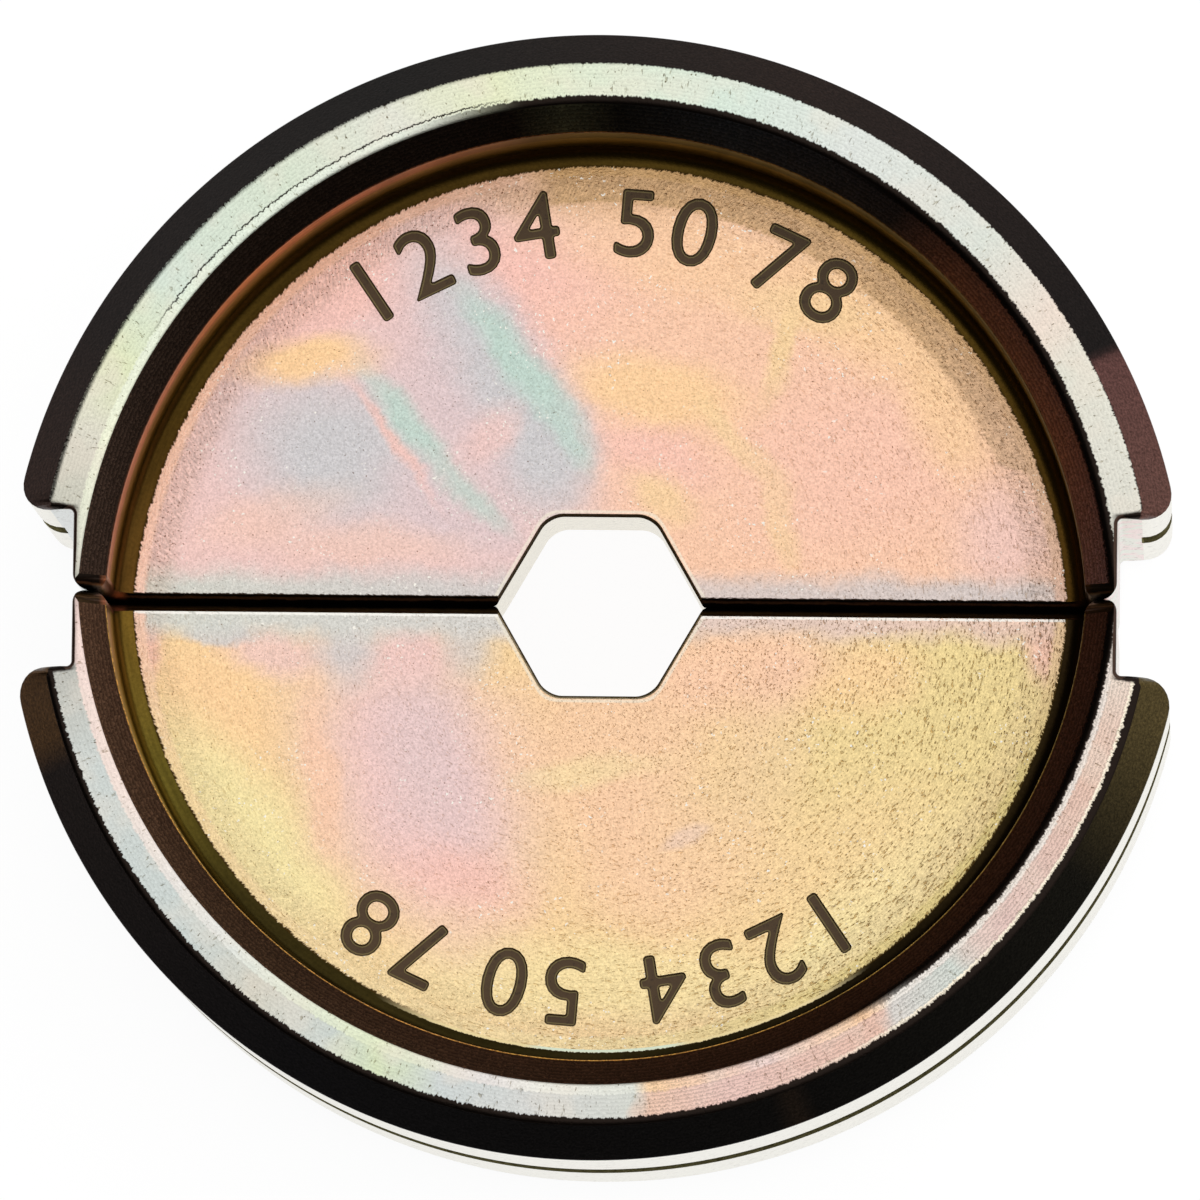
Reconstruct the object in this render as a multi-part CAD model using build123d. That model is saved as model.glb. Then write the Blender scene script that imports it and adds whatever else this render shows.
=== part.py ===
from build123d import *
import os
from math import cos, radians, sin, sqrt, tan

# Overall sizes of the closed die, in millimetres
thickness = 16.0
body_radius = 22.5
# The turning centre of each half lies this far beyond the split plane,
# so that a half is a little less than a half circle
centre_beyond_split = 0.95

# Rim: a flat ring face between two chamfers turned at 45 degrees, with
# its two edges rounded over
outer_chamfer = 1.32
rim_face_width = 1.4
inner_chamfer = 1.08
rim_edge_radius = 0.3

# Web: the thin plate that carries the crimping profile
web_thickness = 5.0
web_fillet = 0.7

# Every rounding that a cutter leaves is made of short tapers that follow its radius
rim_edge_tapers = 2
foot_tapers = 4
end_tapers = 3

# Retaining groove round the outside, at mid thickness
groove_width = 2.2
groove_depth = 1.38

# Side notches where the tool's guides take hold of each half; their walls
# leave a narrow lip of the rim face standing
notch_lip = 0.09
notch_height = 3.0
flange_corner_radius = 1.1
notch_inner_radius = 0.2
nose_radius = 0.55

# Hexagonal crimping profile, shared by the two halves
hexagon_across_flats = 6.9
hexagon_corner_radius = 1.0
hexagon_mouth_radius = 0.2

# Edge breaks, and the full rounds that each wall ends in at the split and
# each flange ends in at its notch
edge_break = 0.12
split_chamfer = 0.34
wall_end_radius = 0.56
flange_end_radius = 0.4

# Values that follow from the sizes above
rim_outer_radius = body_radius - outer_chamfer
rim_inner_radius = rim_outer_radius - rim_face_width
wall_radius = rim_inner_radius - inner_chamfer
notch_wall_distance = rim_inner_radius + notch_lip
mid_plane = thickness / 2
web_front = mid_plane + web_thickness / 2
chamfer_foot = thickness - inner_chamfer
rim_edge_setback = rim_edge_radius * tan(radians(45 / 2))
hexagon_flat_distance = hexagon_across_flats / 2
hexagon_corner_distance = hexagon_flat_distance / cos(radians(30))
flange_corner_distance = sqrt(body_radius**2 - (notch_height + centre_beyond_split) ** 2)
# How far a cutting shape runs on past the faces it cuts
overrun = 1.0


def corners_at(face, x, y):
    """Corners of a flat face at (x, y) and at its mirror place (-x, y)."""
    return [v for v in face.vertices() if abs(abs(v.X) - x) < 0.01 and abs(v.Y - y) < 0.01]


def half_outline():
    """Plan view of one half, seen along the die axis, with its corners rounded."""
    half_flat = hexagon_corner_distance / 2
    crown = body_radius - centre_beyond_split
    with BuildSketch() as plan:
        with BuildLine():
            Polyline(
                (flange_corner_distance, notch_height),
                (notch_wall_distance, notch_height),
                (notch_wall_distance, 0),
                (hexagon_corner_distance, 0),
                (half_flat, hexagon_flat_distance),
                (-half_flat, hexagon_flat_distance),
                (-hexagon_corner_distance, 0),
                (-notch_wall_distance, 0),
                (-notch_wall_distance, notch_height),
                (-flange_corner_distance, notch_height),
            )
            ThreePointArc(
                (-flange_corner_distance, notch_height),
                (0, crown),
                (flange_corner_distance, notch_height),
            )
        make_face()
    face = plan.sketch
    roundings = (
        (flange_corner_distance, notch_height, flange_corner_radius),
        (notch_wall_distance, notch_height, notch_inner_radius),
        (notch_wall_distance, 0, nose_radius),
        (hexagon_corner_distance, 0, hexagon_mouth_radius),
        (half_flat, hexagon_flat_distance, hexagon_corner_radius),
    )
    for x, y, radius in roundings:
        face = fillet(corners_at(face, x, y), radius)
    return face


def half_blank():
    """Prism of the plan view with its front and back edges broken."""
    blank = extrude(half_outline(), thickness)
    end_edges = blank.faces().sort_by(Axis.Z)[0].edges() + blank.faces().sort_by(Axis.Z)[-1].edges()
    return chamfer(end_edges, edge_break)


def tapered_arc(centre, radius, start, end, tapers):
    """Points along an arc from one angle to another, in degrees."""
    turns = [radians(start + (end - start) * step / tapers) for step in range(tapers + 1)]
    return [(centre[0] + radius * cos(turn), centre[1] + radius * sin(turn)) for turn in turns]


def turned_section(points):
    """Closed section in the plane through the turning axis."""
    with BuildSketch(Plane.XZ) as section:
        with BuildLine():
            Polyline(*points, close=True)
        make_face()
    return section.sketch


def recess_profile():
    """Radial section of the front recess: web face, foot, wall, flared chamfer and rim edge."""
    top = thickness + overrun
    foot_centre = (wall_radius - web_fillet, web_front + web_fillet)
    edge_centre = (rim_inner_radius + rim_edge_setback, thickness - rim_edge_radius)
    foot = tapered_arc(foot_centre, web_fillet, -90, 0, foot_tapers)
    rim_edge = tapered_arc(edge_centre, rim_edge_radius, 135, 90, rim_edge_tapers)
    wall_end = [(wall_radius, chamfer_foot)]
    return turned_section([(0, top), (0, web_front)] + foot + wall_end + rim_edge + [(edge_centre[0], top)])


def outer_chamfer_profile():
    """Radial section of what is turned off the front outer edge of the rim."""
    past_radius = body_radius + overrun
    top = thickness + overrun
    edge_centre = (rim_outer_radius - rim_edge_setback, thickness - rim_edge_radius)
    rim_edge = tapered_arc(edge_centre, rim_edge_radius, 90, 45, rim_edge_tapers)
    chamfer_end = [(past_radius, thickness - outer_chamfer - overrun)]
    return turned_section([(edge_centre[0], top)] + rim_edge + chamfer_end + [(past_radius, top)])


def groove_profile():
    """Radial section of the retaining groove."""
    floor_radius = body_radius - groove_depth
    width = groove_depth + overrun
    return Plane.XZ * Pos(floor_radius + width / 2, mid_plane) * Rectangle(width, groove_width)


def turned(profile):
    """Ring swept by a radial section about the turning centre of the upper half."""
    return Pos(0, -centre_beyond_split, 0) * revolve(profile, Axis.Z)


def recess_end(y, side, floor):
    """Section of the front recess at y, its walls moved out by side and its web down by floor."""
    half_width = sqrt(wall_radius**2 - (y + centre_beyond_split) ** 2) + side
    web = web_front - floor
    flare_foot = chamfer_foot - side * tan(radians(45 / 2))
    top = thickness + overrun
    mouth = half_width + top - flare_foot
    with BuildSketch(Plane.XZ.offset(-y)) as section:
        with BuildLine():
            Polyline(
                (-half_width, web),
                (half_width, web),
                (half_width, flare_foot),
                (mouth, top),
                (-mouth, top),
                (-half_width, flare_foot),
                close=True,
            )
        make_face()
    feet = section.sketch.vertices().group_by(Axis.Z)[0]
    return fillet(feet, web_fillet).faces()[0]


def end_rounding(radius):
    """How far the surfaces move in at each distance from the end that a full round closes.

    The first and last steps carry the round on past the end and past the surfaces."""
    arc = tapered_arc((radius, radius), radius, 270, 180, end_tapers)
    before = (2 * arc[0][0] - arc[1][0], -arc[1][1])
    beyond = (-arc[-2][0], 2 * arc[-1][1] - arc[-2][1])
    return [before] + arc + [beyond]


def split_edge_cutter():
    """Cutter that rounds the wall ends and chamfers the web edge where the recess runs out."""
    path = end_rounding(wall_end_radius)
    return loft([recess_end(y, side, split_chamfer - y) for side, y in path], ruled=True)


def flange_end(y, inset):
    """Section at y of what is taken off the right flange, its rim and chamfer moved in by inset."""
    from_centre = y + centre_beyond_split
    face_end = sqrt(rim_outer_radius**2 - from_centre**2)
    chamfer_end = sqrt(body_radius**2 - from_centre**2)
    start = notch_wall_distance + notch_inner_radius
    corner = (face_end - inset * tan(radians(45 / 2)), thickness - inset)
    outside = (corner[0] + 2 * (chamfer_end - face_end), corner[1] - 2 * outer_chamfer)
    top = thickness + overrun
    with BuildSketch(Plane.XZ.offset(-y)) as section:
        with BuildLine():
            Polyline(
                (start, thickness),
                corner,
                outside,
                (outside[0], top),
                (start, top),
                close=True,
            )
        make_face()
    return section.sketch.faces()[0]


def flange_end_cutter():
    """Cutter that rounds the rim face and the outer chamfer into the end of the right flange."""
    path = end_rounding(flange_end_radius)
    return loft([flange_end(notch_height + y, inset) for inset, y in path], ruled=True)


def hexagon_edge_cutter():
    """Tapered hexagon that breaks the edge of the crimping profile on the web face."""
    inside = edge_break / 2
    outside = edge_break * 2
    outline = RegularPolygon(hexagon_corner_distance, 6)
    outline = fillet(outline.vertices(), hexagon_corner_radius)
    low = Pos(0, 0, web_front - edge_break - inside) * offset(outline, -inside)
    high = Pos(0, 0, web_front - edge_break + outside) * offset(outline, outside)
    return loft([low.faces()[0], high.faces()[0]], ruled=True)


def both_sides(shape):
    """The shape and its mirror image on the back of the die."""
    return [shape, mirror(shape, Plane.XY.offset(mid_plane))]


def upper_half():
    """One half of the die: blank, then every cut in the order it is machined."""
    body = half_blank()
    body -= turned(groove_profile())
    right_flange_end = flange_end_cutter()
    front_cutters = (
        turned(recess_profile()),
        turned(outer_chamfer_profile()),
        split_edge_cutter(),
        hexagon_edge_cutter(),
        right_flange_end,
        mirror(right_flange_end, Plane.YZ),
    )
    for cutter in front_cutters:
        for side in both_sides(cutter):
            body -= side
    return body


upper = upper_half()
lower = Rot(0, 0, 180) * upper

os.makedirs("parts", exist_ok=True)
export_step(upper, "parts/upper_die_half.step")
export_step(lower, "parts/lower_die_half.step")
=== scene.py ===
import bpy
import bmesh
from math import asin, cos, hypot, pi, radians, sin, sqrt, tan
from mathutils import Matrix, Vector


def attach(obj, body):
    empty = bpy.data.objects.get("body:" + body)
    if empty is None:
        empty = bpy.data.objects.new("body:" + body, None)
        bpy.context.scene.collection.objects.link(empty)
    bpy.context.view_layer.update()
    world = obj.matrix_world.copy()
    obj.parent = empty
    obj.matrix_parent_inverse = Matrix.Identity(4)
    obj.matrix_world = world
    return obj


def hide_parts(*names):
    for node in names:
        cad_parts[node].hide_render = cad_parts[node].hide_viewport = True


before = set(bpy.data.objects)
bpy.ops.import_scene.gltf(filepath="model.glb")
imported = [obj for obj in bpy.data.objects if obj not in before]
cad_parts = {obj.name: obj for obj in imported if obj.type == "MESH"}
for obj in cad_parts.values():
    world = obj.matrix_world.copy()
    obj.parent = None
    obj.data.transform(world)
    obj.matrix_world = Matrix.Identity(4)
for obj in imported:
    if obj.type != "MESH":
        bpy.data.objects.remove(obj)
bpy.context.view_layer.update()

# Sizes of one die half in millimetres, as the solids have them
THICKNESS = 16.0
MID_PLANE = THICKNESS / 2
BODY_RADIUS = 22.5
# The turning centre of each half lies this far beyond the split plane
CENTRE_BEYOND_SPLIT = 0.95
RIM_OUTER_RADIUS = 21.18
RIM_INNER_RADIUS = 19.78
RIM_EDGE_RADIUS = 0.3
RIM_EDGE_SETBACK = RIM_EDGE_RADIUS * tan(radians(45 / 2))
WALL_RADIUS = 18.7
OUTER_CHAMFER = BODY_RADIUS - RIM_OUTER_RADIUS
INNER_CHAMFER = RIM_INNER_RADIUS - WALL_RADIUS
WEB_THICKNESS = 5.0
WEB_FRONT = MID_PLANE + WEB_THICKNESS / 2
WEB_FILLET = 0.7
FOOT_RADIUS = WALL_RADIUS - WEB_FILLET
GROOVE_WIDTH = 2.2
GROOVE_DEPTH = 1.38
# Notches: how far their walls are from the axis, how high they are, and their corners
NOTCH_WALL = 19.87
NOTCH_HEIGHT = 3.0
FLANGE_CORNER_RADIUS = 1.1
NOTCH_INNER_RADIUS = 0.2
NOSE_RADIUS = 0.55
# Crimping profile: how far its flats and corners are from the axis, and how its corners are rounded
HEXAGON_FLAT = 3.45
HEXAGON_CORNER = HEXAGON_FLAT / cos(radians(30))
HEXAGON_RADIUS = 1.0
HEXAGON_MOUTH_RADIUS = 0.2
# Chamfer of the web along the split, and the full rounds that the walls and the flanges end in
SPLIT_CHAMFER = 0.34
WALL_END_RADIUS = 0.56
FLANGE_END_RADIUS = 0.4

# Small edges and corners
EDGE_BREAK = 0.14
CHAMFER_EDGE_RADIUS = 0.14
HEXAGON_EDGE = 0.12
GROOVE_CORNER = 0.1

# Plain numbers engraved in the web: each group stands on a circle round the turning centre, its middle
# at an angle clockwise from the top, with so many degrees from digit to digit
MARKING = (("1234", -22.0), ("50", 8.5), ("78", 29.0))
MARKING_PITCH = 8.3
MARKING_RADIUS = 14.55
MARKING_HEIGHT = 2.6
# Blender's own typeface draws a figure this share of its size high
FIGURE_SHARE = 0.7
# The strokes are widened, their sides slope, and a paler line runs round their floor
MARKING_WIDENING = 0.05
MARKING_CORNER = 0.1
MARKING_SLOPE = 0.06
MARKING_LINE = 0.045
MARKING_DEPTH = 0.12

# How finely round shapes are divided
TURN_STEPS = 360
CORNER_STEPS = 8
EDGE_STEPS = 3
LETTER_STEPS = 5
# Outlines of digits have a corner where they turn by more than this, and shaded surfaces an edge
CORNER_TURN = radians(40)
EDGE_TURN = radians(32)
# How far a cutting shape runs on past the faces it cuts
OVERRUN = 1.0
# Places nearer to each other than this count as touching
TOUCH = 0.001
# A cutter's corner keeps this share away from the rounding of the next one
CLEAR = 1.001
MILLIMETRE = 0.001

# Surfaces of a half, in the order of its material slots
SURFACES = (
    "rim_face",
    "rim_edge",
    "rim_end",
    "web",
    "recess_wall",
    "chamfer_edge",
    "inner_chamfer",
    "outer_chamfer",
    "chamfer_end",
    "outer_side",
    "groove",
    "notch",
    "broken_edge",
    "split_face",
    "split_edge",
    "crimping_profile",
    "hexagon_edge",
    "engraving",
    "engraving_line",
    "engraving_edge",
)


def surface(name):
    """Material slot of a surface."""
    return SURFACES.index(name)


def round_corner(bm, vertex, radius, steps=CORNER_STEPS, clamp=False):
    """Rounds the corner that a wire or a flat face makes at a vertex."""
    sides = [edge.other_vert(vertex).co - vertex.co for edge in vertex.link_edges]
    setback = radius / tan(sides[0].angle(sides[1]) / 2)
    bmesh.ops.bevel(
        bm,
        geom=[vertex],
        offset=setback,
        offset_type="OFFSET",
        segments=steps,
        profile=0.5,
        affect="VERTICES",
        clamp_overlap=clamp,
        material=-1,
    )


def bevel(bm, edges, offset, steps):
    """Rounds the given edges."""
    bmesh.ops.bevel(
        bm,
        geom=edges,
        offset=offset,
        offset_type="OFFSET",
        segments=steps,
        profile=0.5,
        affect="EDGES",
        material=-1,
    )


def raised(bm, height):
    """Raises the flat shape in a bmesh to a height and returns the corners of its top."""
    result = bmesh.ops.extrude_face_region(bm, geom=list(bm.faces))
    top = [item for item in result["geom"] if isinstance(item, bmesh.types.BMVert)]
    bmesh.ops.translate(bm, vec=(0, 0, height), verts=top)
    return top


def linked(name, data):
    """New object in the scene, at the origin."""
    new = bpy.data.objects.new(name, data)
    bpy.context.collection.objects.link(new)
    return new


def new_piece(name, bm):
    """Mesh object from a bmesh, with one material slot for each surface."""
    bmesh.ops.recalc_face_normals(bm, faces=bm.faces)
    mesh = bpy.data.meshes.new(name)
    bm.to_mesh(mesh)
    bm.free()
    while len(mesh.materials) < len(SURFACES):
        mesh.materials.append(None)
    return linked(name, mesh)


def reach(radius):
    """How far past the corner, square to the axis, the rounding of a 45-degree chamfer's edge reaches."""
    return radius * tan(radians(45 / 2)) * cos(radians(45))


def face_on_the_back(bm):
    """Moves a cutter from the front of the die to the same place on its back."""
    bmesh.ops.scale(bm, vec=(1, 1, -1), verts=bm.verts)
    bmesh.ops.translate(bm, vec=(0, 0, THICKNESS), verts=bm.verts)


def half_outline(bm):
    """Flat face with the plan view of the upper half, its corners rounded."""
    flange_y = NOTCH_HEIGHT + CENTRE_BEYOND_SPLIT
    # The crown starts a trace above the place where the flange corner's rounding runs into it
    trace = radians(0.05)
    crown_start = asin((flange_y + FLANGE_CORNER_RADIUS) / (BODY_RADIUS - FLANGE_CORNER_RADIUS)) + trace
    flange_x = (BODY_RADIUS - flange_y * sin(crown_start)) / cos(crown_start)
    start = (BODY_RADIUS * cos(crown_start), BODY_RADIUS * sin(crown_start) - CENTRE_BEYOND_SPLIT, 0)
    bmesh.ops.spin(
        bm,
        geom=[bm.verts.new(start)],
        cent=(0, -CENTRE_BEYOND_SPLIT, 0),
        axis=(0, 0, 1),
        angle=pi - 2 * crown_start,
        steps=TURN_STEPS // 2,
        use_merge=False,
    )
    left_side = (
        (flange_x, NOTCH_HEIGHT, FLANGE_CORNER_RADIUS),
        (NOTCH_WALL, NOTCH_HEIGHT, NOTCH_INNER_RADIUS),
        (NOTCH_WALL, 0, NOSE_RADIUS),
        (HEXAGON_CORNER, 0, HEXAGON_MOUTH_RADIUS),
        (HEXAGON_CORNER / 2, HEXAGON_FLAT, HEXAGON_RADIUS),
    )
    corners = [(bm.verts.new((-x, y, 0)), radius) for x, y, radius in left_side]
    corners += [(bm.verts.new((x, y, 0)), radius) for x, y, radius in reversed(left_side)]
    bm.faces.new(bm.verts)
    for corner, radius in corners:
        round_corner(bm, corner, radius)


def blank_surface(face):
    """Surface that a face of the blank belongs to."""
    x, y, z = face.calc_center_median()
    level = abs(face.normal.z)
    if level > 0.99:
        return surface("rim_face")
    if level > 0.01:
        return surface("broken_edge")
    if hypot(x, y) < HEXAGON_CORNER + 10 * TOUCH:
        return surface("crimping_profile")
    if y < TOUCH:
        return surface("split_face")
    if y < NOTCH_HEIGHT + TOUCH:
        return surface("notch")
    return surface("outer_side")


def half_blank():
    """Plan view of a half raised to its thickness, with its front and back edges rounded."""
    bm = bmesh.new()
    half_outline(bm)
    raised(bm, THICKNESS)
    bmesh.ops.recalc_face_normals(bm, faces=bm.faces)
    end_edges = [edge for edge in bm.edges if abs(edge.verts[0].co.z - edge.verts[1].co.z) < TOUCH]
    bevel(bm, end_edges, EDGE_BREAK, EDGE_STEPS)
    bm.normal_update()
    for face in bm.faces:
        face.material_index = blank_surface(face)
    return new_piece("half_blank", bm)


def turned(name, section, name_surface, back=False):
    """Solid swept by a radial section round the turning centre of the upper half.

    section holds (radius, height, rounding of that corner); one that starts on the axis ends there."""
    bm = bmesh.new()
    corners = [bm.verts.new((radius, -CENTRE_BEYOND_SPLIT, height)) for radius, height, rounding in section]
    for before, after in zip(corners, corners[1:]):
        bm.edges.new((before, after))
    if section[0][0] > 0:
        bm.edges.new((corners[-1], corners[0]))
    for corner, (radius, height, rounding) in zip(corners, section):
        if rounding:
            round_corner(bm, corner, rounding)
    bmesh.ops.spin(
        bm,
        geom=list(bm.verts) + list(bm.edges),
        cent=(0, -CENTRE_BEYOND_SPLIT, 0),
        axis=(0, 0, 1),
        angle=2 * pi,
        steps=TURN_STEPS,
        use_merge=True,
    )
    bmesh.ops.remove_doubles(bm, verts=bm.verts, dist=TOUCH / 10)
    bm.normal_update()
    for face in bm.faces:
        x, y, z = face.calc_center_median()
        face.material_index = surface(name_surface(hypot(x, y + CENTRE_BEYOND_SPLIT)))
    if back:
        face_on_the_back(bm)
    return new_piece(name, bm)


def recess_cutter(back):
    """Web face, foot, wall, flared chamfer and rounded inner edge of the rim."""
    top = THICKNESS + OVERRUN
    rim_side = RIM_INNER_RADIUS + RIM_EDGE_SETBACK * CLEAR
    section = (
        (0, WEB_FRONT, 0),
        (WALL_RADIUS, WEB_FRONT, WEB_FILLET),
        (WALL_RADIUS, THICKNESS - INNER_CHAMFER, CHAMFER_EDGE_RADIUS),
        (RIM_INNER_RADIUS, THICKNESS, RIM_EDGE_RADIUS),
        (rim_side, THICKNESS, 0),
        (rim_side, top, 0),
        (0, top, 0),
    )
    chamfer_start = WALL_RADIUS + reach(CHAMFER_EDGE_RADIUS)
    chamfer_end = RIM_INNER_RADIUS - reach(RIM_EDGE_RADIUS)

    def name_surface(radius):
        if radius < FOOT_RADIUS:
            return "web"
        if radius < WALL_RADIUS + TOUCH:
            return "recess_wall"
        if radius < chamfer_start:
            return "chamfer_edge"
        return "inner_chamfer" if radius < chamfer_end else "rim_edge"

    return turned("recess", section, name_surface, back)


def outer_chamfer_cutter(back):
    """Chamfer on the outside of the rim, with both its edges rounded.

    It ends a trace beyond the body, so that its rounding crosses the outer side in a clean line."""
    trace = 0.006
    top = THICKNESS + OVERRUN
    past = BODY_RADIUS + OVERRUN
    rim_side = RIM_OUTER_RADIUS - RIM_EDGE_SETBACK * CLEAR
    outside = BODY_RADIUS + trace
    chamfer_end = THICKNESS - OUTER_CHAMFER - trace
    section = (
        (rim_side, top, 0),
        (rim_side, THICKNESS, 0),
        (RIM_OUTER_RADIUS, THICKNESS, RIM_EDGE_RADIUS),
        (outside, chamfer_end, CHAMFER_EDGE_RADIUS),
        (outside, chamfer_end - CHAMFER_EDGE_RADIUS, 0),
        (past, chamfer_end - CHAMFER_EDGE_RADIUS, 0),
        (past, top, 0),
    )
    chamfer_start = RIM_OUTER_RADIUS + reach(RIM_EDGE_RADIUS)

    def name_surface(radius):
        return "rim_edge" if radius < chamfer_start else "outer_chamfer"

    return turned("outer_chamfer", section, name_surface, back)


def groove_cutter():
    """Retaining groove round the outside, at mid thickness."""
    floor = BODY_RADIUS - GROOVE_DEPTH
    past = BODY_RADIUS + OVERRUN
    low = MID_PLANE - GROOVE_WIDTH / 2
    high = MID_PLANE + GROOVE_WIDTH / 2
    section = ((floor, low, GROOVE_CORNER), (floor, high, GROOVE_CORNER), (past, high, 0), (past, low, 0))
    return turned("groove", section, lambda radius: "groove")


def closed_wire(bm, points):
    """Closed wire through the given points: its corners and its edges."""
    corners = [bm.verts.new(point) for point in points]
    edges = [bm.edges.new((corners[index - 1], corner)) for index, corner in enumerate(corners)]
    return corners, edges


def recess_end(bm, y, side, floor):
    """Outline of the recess at y, its walls moved out by side and its web down by floor."""
    half_width = sqrt(WALL_RADIUS**2 - (y + CENTRE_BEYOND_SPLIT) ** 2) + side
    web = WEB_FRONT - floor
    flare_foot = THICKNESS - INNER_CHAMFER - side * tan(radians(45 / 2))
    top = THICKNESS + OVERRUN
    mouth = half_width + top - flare_foot
    right = ((half_width, y, web), (half_width, y, flare_foot), (mouth, y, top))
    left = tuple((-x, y, z) for x, y, z in reversed(right))
    before = set(bm.edges)
    corners = closed_wire(bm, right + left)[0]
    round_corner(bm, corners[0], WEB_FILLET)
    round_corner(bm, corners[-1], WEB_FILLET)
    return [edge for edge in bm.edges if edge not in before]


def end_rounding(radius):
    """How far the surfaces move in at each distance from the end that a full round closes.

    The first and last steps carry the round on past the end and past the surfaces."""
    turns = [radians(90 * step / CORNER_STEPS) for step in range(CORNER_STEPS + 1)]
    path = [(radius * (1 - sin(turn)), radius * (1 - cos(turn))) for turn in turns]
    before = (2 * path[0][0] - path[1][0], -path[1][1])
    beyond = (-path[-2][0], 2 * path[-1][1] - path[-2][1])
    return [before] + path + [beyond]


def bridged(name, bm, rings, name_surface, back):
    """Closed cutter from wires that follow each other."""
    for ring, following in zip(rings, rings[1:]):
        bmesh.ops.bridge_loops(bm, edges=ring + following)
    bmesh.ops.holes_fill(bm, edges=rings[0] + rings[-1], sides=0)
    for face in bm.faces:
        x, y, z = face.calc_center_median()
        face.material_index = surface(name_surface(hypot(x, y + CENTRE_BEYOND_SPLIT)))
    if back:
        face_on_the_back(bm)
    return new_piece(name, bm)


def split_edge_cutter(back):
    """Rounds the wall ends and chamfers the web edge where a recess runs out at the split."""
    bm = bmesh.new()
    rings = [recess_end(bm, y, side, SPLIT_CHAMFER - y) for side, y in end_rounding(WALL_END_RADIUS)]
    return bridged("split_edge", bm, rings, lambda radius: "split_edge", back)


def flange_end(bm, y, inset, side):
    """Outline at y of what is taken off a flange, its rim and chamfer moved in by inset."""
    from_centre = y + CENTRE_BEYOND_SPLIT
    face_end = sqrt(RIM_OUTER_RADIUS**2 - from_centre**2)
    chamfer_end = sqrt(BODY_RADIUS**2 - from_centre**2)
    start = NOTCH_WALL + NOTCH_INNER_RADIUS
    top = THICKNESS + OVERRUN
    corner_x = face_end - inset * tan(radians(45 / 2))
    outside_x = corner_x + 2 * (chamfer_end - face_end)
    outside_z = THICKNESS - inset - 2 * OUTER_CHAMFER
    outline = (
        (start, THICKNESS),
        (corner_x, THICKNESS - inset),
        (outside_x, outside_z),
        (outside_x, top),
        (start, top),
    )
    return closed_wire(bm, [(side * x, y, z) for x, z in outline])[1]


def flange_end_cutter(side, back):
    """Rounds the rim face and the outer chamfer into the end of a flange."""
    bm = bmesh.new()
    path = end_rounding(FLANGE_END_RADIUS)
    rings = [flange_end(bm, NOTCH_HEIGHT + y, inset, side) for inset, y in path]

    def name_surface(radius):
        return "rim_end" if radius < RIM_OUTER_RADIUS else "chamfer_end"

    return bridged("flange_end", bm, rings, name_surface, back)


def hexagon_edge_cutter(back):
    """Tapered hexagon that breaks the edge of the crimping profile on the web, and runs on past both ends."""
    low = HEXAGON_FLAT - HEXAGON_EDGE / 2
    high = HEXAGON_FLAT + HEXAGON_EDGE * 2
    bm = bmesh.new()
    bmesh.ops.create_circle(bm, cap_ends=True, segments=6, radius=low / cos(radians(30)))
    bmesh.ops.rotate(bm, verts=bm.verts, matrix=Matrix.Rotation(radians(30), 3, "Z"))
    for corner in [vertex for vertex in bm.verts if abs(vertex.co.y) > HEXAGON_FLAT / 2]:
        round_corner(bm, corner, HEXAGON_RADIUS)
    bmesh.ops.translate(bm, vec=(0, 0, WEB_FRONT - HEXAGON_EDGE * 1.5), verts=bm.verts)
    top = raised(bm, high - low)
    bmesh.ops.scale(bm, vec=(high / low, high / low, 1), verts=top)
    for face in bm.faces:
        face.material_index = surface("hexagon_edge")
    if back:
        face_on_the_back(bm)
    return new_piece("hexagon_edge", bm)


def digit_outline(digit):
    """Wires round one digit, standing on the x axis at x = 0."""
    text = bpy.data.curves.new("digit", "FONT")
    text.body = digit
    text.align_x = "CENTER"
    text.size = MARKING_HEIGHT / FIGURE_SHARE
    text.fill_mode = "NONE"
    text.resolution_u = LETTER_STEPS
    writing = linked("digit", text)
    depsgraph = bpy.context.evaluated_depsgraph_get()
    mesh = bpy.data.meshes.new_from_object(writing.evaluated_get(depsgraph))
    bpy.data.objects.remove(writing)
    bpy.data.curves.remove(text)
    bm = bmesh.new()
    bm.from_mesh(mesh)
    bpy.data.meshes.remove(mesh)
    return bm


def turns_at(vertex):
    """Angle by which a wire turns at a vertex."""
    first, second = [edge.other_vert(vertex).co - vertex.co for edge in vertex.link_edges]
    return pi - first.angle(second)


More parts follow.
